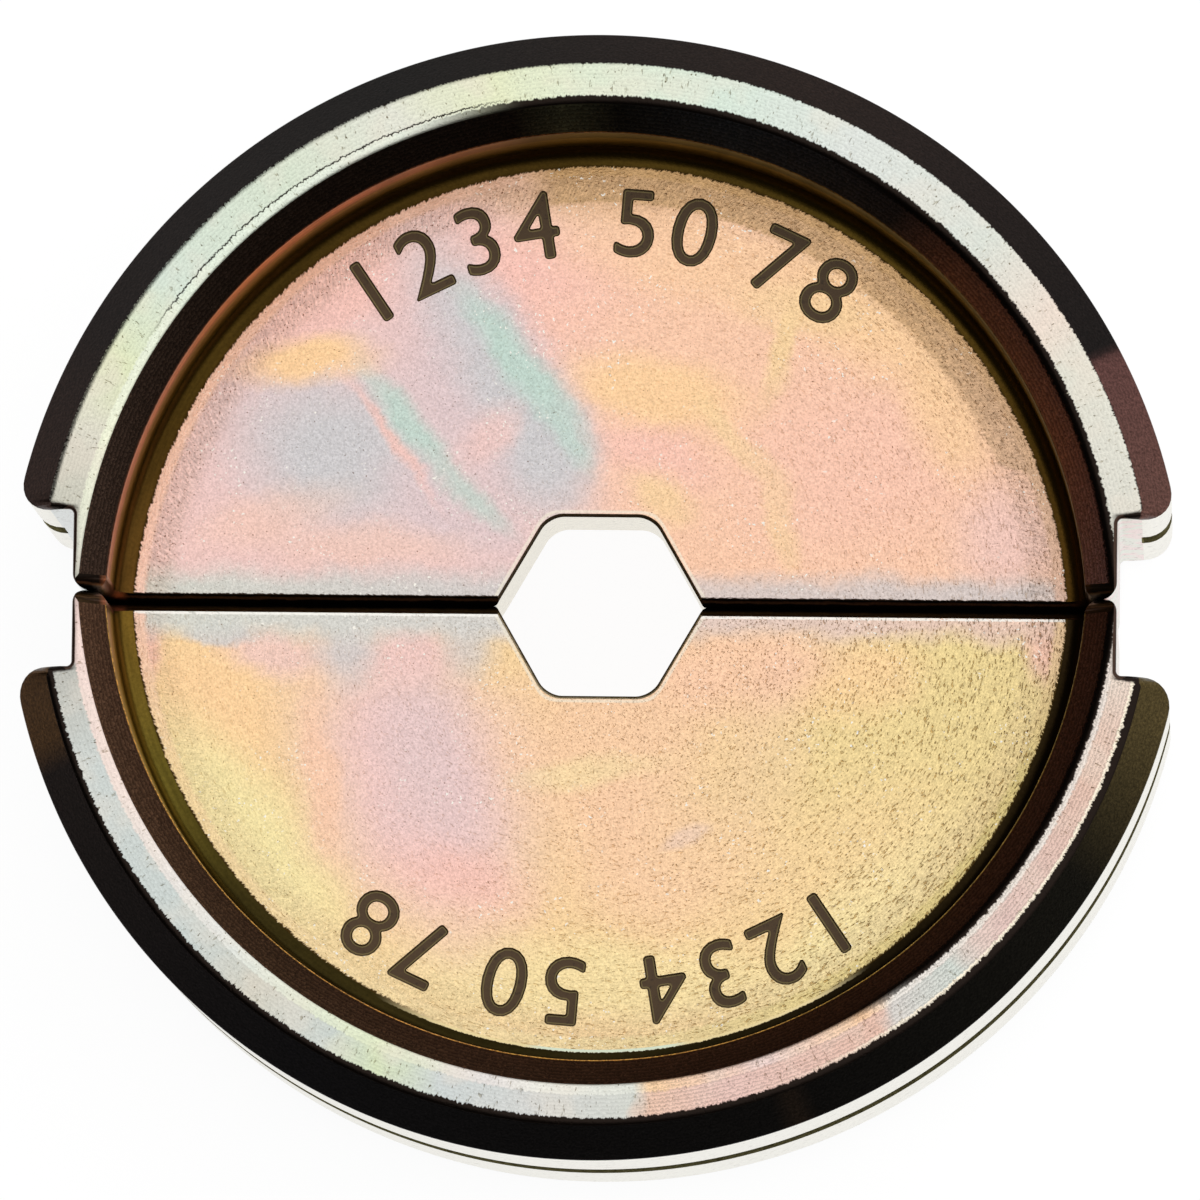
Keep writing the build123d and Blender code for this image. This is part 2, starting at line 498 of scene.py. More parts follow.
def digit_cutter(digit, angle):
    """One engraved digit, standing on the marking's circle at an angle clockwise from the top."""
    bm = digit_outline(digit)
    bmesh.ops.remove_doubles(bm, verts=bm.verts, dist=10 * TOUCH)
    for corner in [vertex for vertex in bm.verts if turns_at(vertex) > CORNER_TURN]:
        round_corner(bm, corner, MARKING_CORNER, EDGE_STEPS, clamp=True)
    bmesh.ops.remove_doubles(bm, verts=bm.verts, dist=20 * TOUCH)
    bmesh.ops.triangle_fill(bm, use_beauty=True, use_dissolve=False, edges=bm.edges)
    border = bmesh.ops.inset_region(
        bm,
        faces=bm.faces,
        thickness=-MARKING_WIDENING,
        use_boundary=True,
        use_even_offset=True,
    )
    bmesh.ops.delete(bm, geom=border["faces"], context="FACES")
    raised(bm, 2 * MARKING_DEPTH)
    bmesh.ops.recalc_face_normals(bm, faces=bm.faces)
    floor = [face for face in bm.faces if face.normal.z < -0.9]
    for face in bm.faces:
        face.material_index = surface("engraving_edge")
    for face in floor:
        face.material_index = surface("engraving")
    slope = bmesh.ops.inset_region(bm, faces=floor, thickness=MARKING_SLOPE, depth=MARKING_SLOPE)
    for face in slope["faces"]:
        face.material_index = surface("engraving_edge")
    line = bmesh.ops.inset_region(bm, faces=floor, thickness=MARKING_LINE)
    for face in line["faces"]:
        face.material_index = surface("engraving_line")
    bmesh.ops.translate(bm, vec=(0, 0, MARKING_SLOPE - MARKING_DEPTH), verts=bm.verts)
    centre = Matrix.Translation((0, -CENTRE_BEYOND_SPLIT, WEB_FRONT))
    turn = Matrix.Rotation(radians(-angle), 4, "Z")
    bm.transform(centre @ turn @ Matrix.Translation((0, MARKING_RADIUS, 0)))
    return new_piece("digit", bm)


def engrave(half):
    """Cuts the numbers into the front web, digit by digit."""
    for group, middle in MARKING:
        for index, digit in enumerate(group):
            cut(half, digit_cutter(digit, middle + (index - (len(group) - 1) / 2) * MARKING_PITCH))


def cut(piece, cutter):
    """Takes a cutting shape away from a piece."""
    step = piece.modifiers.new("cut", "BOOLEAN")
    step.operation = "DIFFERENCE"
    step.solver = "EXACT"
    step.object = cutter
    depsgraph = bpy.context.evaluated_depsgraph_get()
    result = bpy.data.meshes.new_from_object(piece.evaluated_get(depsgraph))
    piece.modifiers.clear()
    old = piece.data
    piece.data = result
    bpy.data.meshes.remove(old)
    bpy.data.objects.remove(cutter)


def finished_half():
    """Upper half of the die in millimetres: the blank and every cut that is made in it."""
    half = half_blank()
    cut(half, groove_cutter())
    for back in (False, True):
        cut(half, recess_cutter(back))
        cut(half, outer_chamfer_cutter(back))
        cut(half, split_edge_cutter(back))
        cut(half, hexagon_edge_cutter(back))
        cut(half, flange_end_cutter(1, back))
        cut(half, flange_end_cutter(-1, back))
    engrave(half)
    return half


def placed_half(name, source, turn, materials, node):
    """Puts a die half in its place, in metres, to stand for its solid."""
    mesh = source.data.copy()
    mesh.name = name
    mesh.transform(Matrix.Scale(MILLIMETRE, 4) @ Matrix.Rotation(radians(turn), 4, "Z"))
    for index, name_of_surface in enumerate(SURFACES):
        mesh.materials[index] = materials[name_of_surface]
    for polygon in mesh.polygons:
        polygon.use_smooth = True
    mesh.set_sharp_from_angle(angle=EDGE_TURN)
    piece = linked(name, mesh)
    even = piece.modifiers.new("even_shading", "WEIGHTED_NORMAL")
    even.keep_sharp = True
    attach(piece, "root")
    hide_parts(node)


def colour(red, green, blue):
    """Linear colour from the 0 to 255 values that a screen shows."""

    def linear(value):
        value = value / 255
        return value / 12.92 if value < 0.04045 else ((value + 0.055) / 1.055) ** 2.4

    return (linear(red), linear(green), linear(blue), 1)


WHITE = colour(255, 255, 255)


def add_node(tree, kind, inputs=None, output=0, **settings):
    """Adds a node, links or sets its inputs and returns one of its outputs."""
    node = tree.nodes.new(kind)
    for name, value in settings.items():
        setattr(node, name, value)
    for name, value in (inputs or {}).items():
        if isinstance(value, bpy.types.NodeSocket):
            tree.links.new(value, node.inputs[name])
        else:
            node.inputs[name].default_value = value
    return node.outputs[output]


class Finish:
    """Surface finish of one material: adds its nodes and links them.

    It starts from a first shade, which paint, stain and tone then work over. Places and distances are in
    millimetres; side is 1 on the upper half and -1 on the lower one."""

    def __init__(self, name, side=1):
        self.material = bpy.data.materials.new(name)
        self.material.use_nodes = True
        self.tree = self.material.node_tree
        self.shader = self.tree.nodes["Principled BSDF"]
        self.shade = WHITE
        metres = self.add("ShaderNodeTexCoord", output="Object")
        self.place = self.vector("SCALE", {0: metres, "Scale": 1 / MILLIMETRE})
        self.x, self.y, self.z = self.parts(self.place)
        from_centre = self.plus(self.y, side * CENTRE_BEYOND_SPLIT)
        squares = self.plus(self.times(self.x, self.x), self.times(from_centre, from_centre))
        self.radius = self.math("SQRT", squares)
        turn = self.times(self.math("ARCTAN2", from_centre, self.x), 180 / pi)
        self.angle = self.math("FLOORED_MODULO", turn, 360.0)
        self.arc = self.times(self.angle, RIM_INNER_RADIUS * pi / 180)
        self.turned = self.joined(self.arc, self.radius, self.z)

    def add(self, kind, inputs=None, output=0, **settings):
        return add_node(self.tree, kind, inputs, output, **settings)

    def vector(self, operation, inputs, output=0):
        return self.add("ShaderNodeVectorMath", inputs, output, operation=operation)

    def parts(self, vector):
        node = self.add("ShaderNodeSeparateXYZ", {0: vector}).node
        return node.outputs[0], node.outputs[1], node.outputs[2]

    def joined(self, x, y, z):
        return self.add("ShaderNodeCombineXYZ", {0: x, 1: y, 2: z})

    def math(self, operation, first, second=0.0):
        return self.add("ShaderNodeMath", {0: first, 1: second}, operation=operation)

    def plus(self, first, second):
        return self.math("ADD", first, second)

    def minus(self, first, second):
        return self.math("SUBTRACT", first, second)

    def times(self, first, second):
        """Product of two values; of two covers, the cover where both are."""
        return self.math("MULTIPLY", first, second)

    def either(self, first, second):
        """Of two covers, the stronger one."""
        return self.math("MAXIMUM", first, second)

    def unsigned(self, value):
        return self.math("ABSOLUTE", value)

    def scaled(self, value, low, high, to_low, to_high):
        """A value that passes from to_low at low to to_high at high."""
        inputs = {"Value": value, "From Min": low, "From Max": high, "To Min": to_low, "To Max": to_high}
        return self.add("ShaderNodeMapRange", inputs)

    def step(self, value, low, high):
        """0 below low, 1 above high, and smooth between."""
        inputs = {"Value": value, "From Min": low, "From Max": high}
        return self.add("ShaderNodeMapRange", inputs, interpolation_type="SMOOTHSTEP")

    def below(self, value, low, high):
        """1 below low, 0 above high, and smooth between."""
        return self.minus(1.0, self.step(value, low, high))

    def window(self, value, low, high, soft):
        """1 between low and high, fading to 0 over the soft distance outside them."""
        return self.times(self.step(value, low - soft, low), self.below(value, high, high + soft))

    def noise(self, place, scale, detail=2.0, roughness=0.5, output=0):
        """Noise about 0.5, with so many bumps to the millimetre."""
        inputs = {"Vector": place, "Scale": scale, "Detail": detail, "Roughness": roughness}
        return self.add("ShaderNodeTexNoise", inputs, output)

    def grain(self, scale=8.0):
        """The fine grain of the plated surface."""
        return self.noise(self.place, scale, 2.0, 0.65)

    def shifted(self, value, noise, amount):
        """A value moved about by a noise, so that a border in it becomes ragged."""
        return self.plus(value, self.times(self.minus(noise, 0.5), 2 * amount))

    def stretched(self, place, by):
        return self.vector("MULTIPLY", {0: place, 1: by})

    def strokes(self, along, scale, detail=2.0):
        """Noise drawn out round the turning axis: along below 1 lengthens its strokes."""
        return self.noise(self.stretched(self.turned, (along, 1, 1)), scale, detail, 0.6)

    def hair(self, scale, lean=0.0):
        """Noise of short strokes that run across the turning direction, leaning to one side."""
        leaning = self.plus(self.arc, self.times(self.radius, lean))
        across = self.joined(leaning, self.times(self.radius, 0.35), self.times(self.z, 0.35))
        return self.noise(across, scale, 2.0, 0.65)

    def lines(self, pitch, noise):
        """Turned lines round the axis, so many millimetres apart, broken up by a noise: about 0.5."""
        wave = self.math("SINE", self.times(self.shifted(self.radius, noise, 0.17), 2 * pi / pitch))
        return self.plus(self.times(self.times(wave, noise), 0.5), 0.5)

    def wandering(self, place, scale, amount):
        """The place moved about by a noise, so that shapes lose their straight edges."""
        drift = self.vector("SUBTRACT", {0: self.noise(place, scale, output=1), 1: (0.5, 0.5, 0.5)})
        return self.vector("MULTIPLY_ADD", {0: drift, 1: (amount, amount, amount), 2: place})

    def patch(self, place, centre, size, angle, soft):
        """1 within a turned ellipse on the face, fading to 0 across its soft edge."""
        turn = (0, 0, radians(angle))
        inputs = {"Vector": place, "Location": (*centre, 0), "Rotation": turn, "Scale": (*size, 1)}
        local = self.add("ShaderNodeMapping", inputs, vector_type="TEXTURE")
        distance = self.vector("LENGTH", {0: self.stretched(local, (1, 1, 0))}, output="Value")
        return self.below(distance, 1 - soft, 1 + soft)

    def mix(self, amount, first, second, blend="MIX"):
        inputs = {0: amount, 6: first, 7: second}
        return self.add("ShaderNodeMix", inputs, output=2, data_type="RGBA", blend_type=blend)

    def toned(self, shade, value, low, high):
        """A shade made darker or brighter, from low at value 0.25 to high at value 0.75."""
        level = self.scaled(value, 0.25, 0.75, low, high)
        return self.mix(1.0, shade, self.joined(level, level, level), "MULTIPLY")

    def paint(self, cover, tint):
        """Lays a tint over the finish where the cover is."""
        self.shade = self.mix(cover, self.shade, tint)

    def stain(self, cover, tint):
        """Darkens the finish by a tint where the cover is."""
        self.paint(cover, self.mix(1.0, self.shade, tint, "MULTIPLY"))

    def tone(self, value, low, high, cover=1.0):
        """Makes the finish darker or brighter with a value where the cover is."""
        self.paint(cover, self.toned(self.shade, value, low, high))

    def ramp(self, value, stops):
        """Colour that passes through its stops, each a value and a colour, as the value grows."""
        low, high = stops[0][0], stops[-1][0]
        node = self.add("ShaderNodeValToRGB", {0: self.scaled(value, low, high, 0, 1)}).node
        elements = node.color_ramp.elements
        for at, shade in stops[1:-1]:
            elements.new((at - low) / (high - low))
        for element, (at, shade) in zip(elements, stops):
            element.color = colour(*shade)
        return node.outputs[0]

    def bump(self, height, distance):
        """Raises the surface by the height, at most by the distance in millimetres."""
        normal = self.add("ShaderNodeBump", {"Height": height, "Distance": distance * MILLIMETRE})
        self.tree.links.new(normal, self.shader.inputs["Normal"])

    def done(self, roughness=0.34, metallic=1.0, edge_tint=WHITE):
        """Puts the finish on the shader; edge_tint is what a metal mirrors where it is seen edge on."""
        inputs = {"Base Color": self.shade, "Roughness": roughness, "Metallic": metallic}
        inputs["Specular Tint"] = edge_tint
        for name, value in inputs.items():
            if isinstance(value, bpy.types.NodeSocket):
                self.tree.links.new(value, self.shader.inputs[name])
            else:
                self.shader.inputs[name].default_value = value
        return self.material


# Interference colours of the passivated zinc, as a screen shows them
TINTS = {
    "pink": colour(236, 199, 192),
    "rose": colour(245, 194, 180),
    "lavender": colour(203, 201, 202),
    "violet": colour(219, 198, 199),
    "teal": colour(190, 211, 200),
    "peach": colour(246, 200, 170),
    "gold": colour(249, 207, 158),
    "yellow": colour(243, 209, 158),
    "olive": colour(233, 210, 150),
    "cream": colour(240, 223, 166),
    "bronze": colour(222, 178, 138),
}

# Marks and edges of the web, among them painted highlights and painted shade along its edges
STREAK_BROWN = colour(206, 172, 148)
TURNING_MARK = colour(232, 214, 188)
PIT = colour(156, 136, 122)
CHIP = colour(242, 238, 228)
HEXAGON_HIGHLIGHT = colour(240, 232, 212)
SPLIT_PAINTED_SHADE = colour(56, 44, 36)
SPLIT_GLINT = colour(249, 246, 238)
FOOT_PAINTED_SHADE = colour(64, 48, 20)

# Marks and edges of the rim face, and the painted shade on its roundings
RIM_GLEAM = colour(236, 222, 206)
RIM_SCRATCH = colour(196, 188, 172)
RIM_SPOT = colour(150, 142, 128)
RIM_CREAM_EDGE = colour(246, 234, 212)
RIM_PAINTED_SHADE = colour(38, 31, 27)

# Other marks, among them painted shade on the chamfers, a painted sheen on the walls and a painted glint on
# the foot
CHAMFER_PAINTED_SHADE = colour(24, 20, 18)
WALL_PAINTED_SHEEN = colour(176, 146, 66)
FOOT_YELLOW = colour(228, 208, 156)
FOOT_GLINT = colour(208, 218, 196)
ZINC_SPOT = colour(150, 142, 130)
NOTCH_PINK = colour(246, 224, 220)
NOTCH_CREAM = colour(234, 236, 224)
NOTCH_GREY = colour(224, 228, 226)
NOTCH_SPOT = colour(160, 150, 142)

# Clouds of tint on the web of each half: centre x and y, half length and half width in
# millimetres, angle, softness of the edge, tint and amount; later clouds lie over earlier ones
UPPER_CLOUDS = (
    (-9.0, 6.6, 6.2, 4.6, -20, 0.6, "violet", 0.7),
    (-2.5, 12.2, 5.5, 2.6, 5, 0.6, "rose", 0.9),
    (-10.8, 11.6, 3.5, 1.4, 42, 0.6, "rose", 0.7),
    (5.5, 10.6, 6.5, 3.0, 0, 0.6, "peach", 0.9),
    (10.6, 11.0, 4.0, 1.8, -42, 0.6, "gold", 0.8),
    (0.5, 16.4, 7.0, 1.3, 0, 0.6, "bronze", 0.8),
    (13.2, 11.4, 5.0, 0.9, -49, 0.6, "bronze", 0.5),
    (3.4, 13.6, 6.0, 1.6, -12, 0.6, "gold", 0.5),
    (6.9, 9.9, 1.9, 0.45, 76, 0.6, "yellow", 0.9),
    (7.6, 11.6, 2.4, 0.8, -10, 0.6, "yellow", 0.6),
    (2.2, 8.2, 3.6, 1.3, -10, 0.5, "gold", 0.9),
    (5.4, 6.2, 2.2, 0.5, -46, 0.6, "yellow", 0.9),
    (6.8, 3.6, 1.9, 0.5, -72, 0.6, "yellow", 0.8),
    (2.4, 4.4, 1.2, 0.8, -40, 0.6, "yellow", 0.7),
    (2.0, 6.0, 2.2, 0.9, -20, 0.6, "rose", 0.7),
    (9.6, 5.6, 4.4, 3.2, 0, 0.7, "rose", 0.45),
    (13.2, 7.4, 2.4, 1.4, -60, 0.6, "gold", 0.7),
    (15.6, 2.6, 1.8, 1.8, 0, 0.7, "pink", 0.7),
    (-10.2, 5.9, 3.2, 2.3, -15, 0.65, "lavender", 0.95),
    (-5.6, 3.6, 3.0, 1.3, -28, 0.6, "violet", 0.8),
    (-4.4, 8.6, 5.4, 2.4, -58, 0.45, "violet", 0.9),
    (-4.2, 9.4, 4.6, 1.4, -58, 0.7, "lavender", 0.9),
    (-2.2, 5.8, 1.6, 2.0, 20, 0.7, "lavender", 0.9),
    (-3.3, 9.4, 3.2, 0.7, -50, 0.6, "teal", 0.95),
    (-1.5, 6.5, 1.3, 0.4, -50, 0.8, "teal", 0.7),
    (-4.4, 6.5, 1.4, 0.7, 45, 0.6, "pink", 0.8),
    (-8.0, 6.4, 2.4, 0.22, -52, 0.8, "rose", 0.7),
    (-7.5, 7.1, 2.4, 0.5, -52, 0.7, "teal", 0.9),
    (-4.9, 4.1, 1.6, 0.4, -44, 0.8, "teal", 0.7),
    (-11.3, 9.4, 2.3, 0.9, 8, 0.6, "gold", 1.0),
    (-9.2, 2.2, 3.4, 0.8, 0, 0.7, "peach", 0.35),
    (-12.6, 3.4, 2.6, 0.9, 20, 0.7, "peach", 0.35),
)
LOWER_CLOUDS = (
    (-14.6, -4.0, 2.4, 2.6, 0, 0.6, "gold", 0.8),
    (-13.8, -8.8, 5.6, 2.0, -49, 0.6, "cream", 1.0),
    (0.6, -5.4, 4.6, 3.0, 0, 0.6, "peach", 0.6),
    (2.6, -9.4, 4.0, 2.6, 0, 0.6, "peach", 0.6),
    (5.5, -2.4, 4.4, 1.6, 0, 0.6, "peach", 0.8),
    (6.6, -5.4, 3.4, 1.4, 75, 0.6, "rose", 0.35),
    (10.2, -3.0, 2.2, 1.2, 20, 0.6, "gold", 0.8),
    (-0.8, -6.4, 2.8, 0.5, 8, 0.7, "cream", 0.45),
    (8.4, -6.0, 5.0, 2.6, 20, 0.8, "olive", 0.5),
    (0.0, -14.6, 9.0, 1.6, 0, 0.6, "cream", 0.6),
    (10.4, -11.6, 4.4, 1.4, 45, 0.6, "cream", 0.8),
    (-7.0, -6.6, 5.8, 3.6, -66, 0.6, "pink", 1.0),
    (-6.4, -5.8, 3.6, 1.8, -75, 0.8, "violet", 0.55),
    (-5.2, -10.6, 2.6, 1.2, -15, 0.8, "rose", 0.7),
    (-10.6, -6.6, 3.0, 0.6, -80, 0.6, "peach", 0.7),
    (-12.4, -1.8, 1.8, 0.9, -10, 0.6, "pink", 0.8),
    (-7.4, -1.9, 1.6, 1.0, 0, 0.6, "pink", 0.9),
    (-9.8, -1.6, 0.9, 1.4, 0, 0.8, "lavender", 0.8),
    (-4.9, -1.4, 0.9, 1.2, 10, 0.8, "lavender", 0.7),
    (-14.6, -1.1, 1.4, 0.5, 0, 0.4, "lavender", 0.8),
    (-17.6, -1.6, 0.7, 1.6, 0, 0.6, "rose", 0.9),
    (17.4, -1.6, 0.8, 1.6, 0, 0.6, "rose", 0.8),
    (3.4, -8.9, 0.8, 0.3, 30, 0.6, "violet", 0.35),
    (8.6, -9.6, 5.0, 2.4, 20, 0.7, "yellow", 0.5),
)

# Tints along the split, from left to right
UPPER_STRIP = ((-17, (206, 208, 198)), (-4, (207, 201, 198)), (4, (212, 198, 192)), (17, (208, 198, 194)))
LOWER_STRIP = ((-17, (209, 211, 203)), (-4, (211, 208, 203)), (4, (222, 199, 188)), (17, (230, 198, 180)))

# Smooth band where the web turns up into its foot, by the angle about the turning centre
UPPER_WEB_EDGE = (
    (0, (226, 186, 166)),
    (22, (216, 178, 142)),
    (45, (208, 168, 118)),
    (96, (204, 164, 112)),
    (101, (224, 182, 156)),
    (130, (234, 188, 162)),
    (155, (248, 206, 180)),
    (180, (250, 206, 186)),
)
LOWER_WEB_EDGE = (
    (180, (250, 205, 188)),
    (205, (246, 216, 168)),
    (270, (236, 214, 164)),
    (300, (222, 202, 140)),
    (335, (216, 196, 132)),
    (360, (232, 196, 158)),
)

# Colours round the rim face, by the angle in degrees about the turning centre
UPPER_RIM = (
    (5, (206, 204, 192)),
    (14, (222, 220, 208)),
    (28, (224, 222, 208)),
    (34, (236, 220, 206)),
    (44, (220, 224, 214)),
    (62, (222, 226, 220)),
    (76, (216, 230, 216)),
    (92, (224, 232, 208)),
    (101, (228, 232, 196)),
    (112, (226, 226, 212)),
    (125, (216, 226, 206)),
    (142, (214, 226, 212)),
    (152, (224, 230, 192)),
    (160, (222, 218, 202)),
    (168, (200, 198, 184)),
    (175, (186, 182, 168)),
)
LOWER_RIM = (
    (185, (172, 170, 162)),
    (194, (196, 196, 188)),
    (202, (206, 212, 208)),
    (224, (202, 210, 206)),
    (232, (212, 208, 194)),
    (241, (205, 212, 206)),
    (247, (214, 224, 188)),
    (254, (206, 212, 210)),
    (264, (212, 212, 208)),
    (274, (210, 212, 204)),
    (276, (230, 194, 172)),
    (285, (226, 192, 182)),
    (302, (228, 190, 172)),
    (304, (214, 208, 202)),
    (312, (206, 212, 204)),
    (318, (220, 192, 184)),
    (338, (226, 192, 174)),
    (350, (228, 212, 198)),
)

# The strip of the rim face next to the recess is painted brighter: a painted highlight on and beside its
# inner rounding
UPPER_INNER_STRIP = (
    (100, (232, 236, 222)),
    (140, (228, 238, 220)),
    (160, (238, 240, 214)),
    (175, (216, 216, 202)),
)
LOWER_INNER_STRIP = (
    (185, (240, 214, 206)),
    (205, (240, 222, 212)),
    (225, (226, 228, 224)),
    (247, (222, 230, 196)),
    (258, (228, 222, 218)),
    (265, (236, 234, 224)),
    (274, (222, 224, 214)),
    (276, (244, 206, 164)),
    (283, (238, 202, 178)),
    (290, (232, 206, 200)),
    (301, (246, 202, 162)),
    (304, (230, 224, 216)),
    (350, (230, 218, 208)),
)

# Outer chamfer, inner chamfer, recess wall and foot, by angle, with painted light and shade in them
# The outer chamfer's dark colours are painted shade: a painted dark reflection of its surroundings
UPPER_OUTER_CHAMFER = (
    (5, (96, 68, 60)),
    (27.4, (90, 60, 56)),
    (28.4, (24, 20, 19)),
    (70, (38, 28, 24)),
    (110, (24, 21, 19)),
    (150, (32, 25, 23)),
    (175, (56, 40, 34)),
)
LOWER_OUTER_CHAMFER = (
    (185, (74, 52, 32)),
    (198, (72, 50, 28)),
    (201, (30, 23, 20)),
    (240, (18, 16, 17)),
    (289, (20, 18, 16)),
    (291, (42, 32, 24)),
    (293, (20, 18, 16)),
    (328, (26, 24, 18)),
    (345, (82, 70, 42)),
)
# The inner chamfer's dark colours are painted shade: a painted dark reflection of its surroundings
UPPER_INNER_CHAMFER = (
    (5, (152, 116, 116)),
    (20, (162, 112, 96)),
    (45, (138, 94, 76)),
    (54, (60, 54, 54)),
    (75, (60, 62, 66)),
    (88, (42, 40, 36)),
    (94, (84, 84, 64)),
    (100, (44, 36, 30)),
    (175, (62, 48, 40)),
)
LOWER_INNER_CHAMFER = ((185, (80, 58, 44)), (230, (66, 48, 34)), (300, (70, 46, 34)), (350, (100, 70, 58)))
# The walls are painted lit on the left, where they face the light, and painted in shade on the right
UPPER_WALL = (
    (5, (104, 84, 30)),
    (50, (112, 104, 36)),
    (90, (122, 108, 38)),
    (98, (128, 102, 42)),
    (108, (184, 128, 76)),
    (120, (210, 144, 98)),
    (136, (226, 158, 92)),
    (150, (222, 156, 110)),
    (175, (224, 170, 140)),
)
LOWER_WALL = (
    (185, (206, 156, 112)),
    (192, (176, 150, 76)),
    (206, (150, 134, 62)),
    (222, (84, 72, 30)),
    (250, (54, 45, 20)),
    (300, (40, 30, 14)),
    (350, (44, 32, 15)),
)
# The dark foot is painted shade in the corner of the recess
UPPER_FOOT = (
    (5, (72, 50, 16)),
    (60, (74, 58, 20)),
    (100, (62, 46, 16)),
    (150, (64, 48, 16)),
    (175, (86, 60, 24)),
)
LOWER_FOOT = (
    (185, (104, 80, 30)),
    (204, (92, 80, 30)),
    (222, (52, 44, 18)),
    (300, (26, 20, 9)),
    (350, (38, 28, 13)),
)

# Bright line along the edge between the wall and the inner chamfer, by angle
UPPER_WALL_EDGE = (
    (5, (112, 84, 44)),
    (60, (120, 100, 50)),
    (100, (110, 72, 40)),
    (120, (92, 52, 30)),
    (175, (80, 48, 30)),
)
LOWER_WALL_EDGE = (
    (185, (190, 150, 80)),
    (230, (176, 144, 66)),
    (275, (220, 168, 88)),
    (300, (176, 152, 74)),
    (350, (140, 118, 58)),
)

# Chamfers along the split, by the distance from the split in millimetres: black at the seam as painted shade,
# the upper one painted darker than the lower
UPPER_SPLIT_EDGE = (
    (0, (16, 12, 11)),
    (0.15, (18, 14, 12)),
    (0.2, (104, 76, 60)),
    (0.24, (92, 68, 54)),
    (0.28, (24, 19, 16)),
    (0.36, (34, 27, 22)),
)
LOWER_SPLIT_EDGE = (
    (0, (16, 12, 11)),
    (0.1, (18, 14, 12)),
    (0.14, (66, 50, 28)),
    (0.24, (88, 69, 38)),
    (0.27, (40, 31, 20)),
    (0.31, (120, 94, 66)),
    (0.36, (60, 46, 30)),
)

# Broken edge of the crimping profile, by the depth below the web in millimetres
UPPER_HEXAGON_EDGE = ((0, (132, 112, 90)), (0.05, (98, 84, 68)), (0.12, (78, 66, 52)))
LOWER_HEXAGON_EDGE = (
    (0, (238, 226, 202)),
    (0.04, (214, 198, 164)),
    (0.07, (104, 90, 60)),
    (0.12, (86, 72, 48)),
)


# Ends of the recess walls at the split, from left to right, painted lit on the left and shaded on the right
# like the walls
WALL_END = ((-18, (178, 118, 86)), (18, (74, 50, 28)))
# Where the lower foot is left bright, without the painted shade: from and to which angle, and how softly it
# ends
BRIGHT_FOOT = (252, 296, 10.0)
# The inner chamfers are painted black as shade on the right beyond this radius
BLACK_FROM = RIM_INNER_RADIUS - 0.28


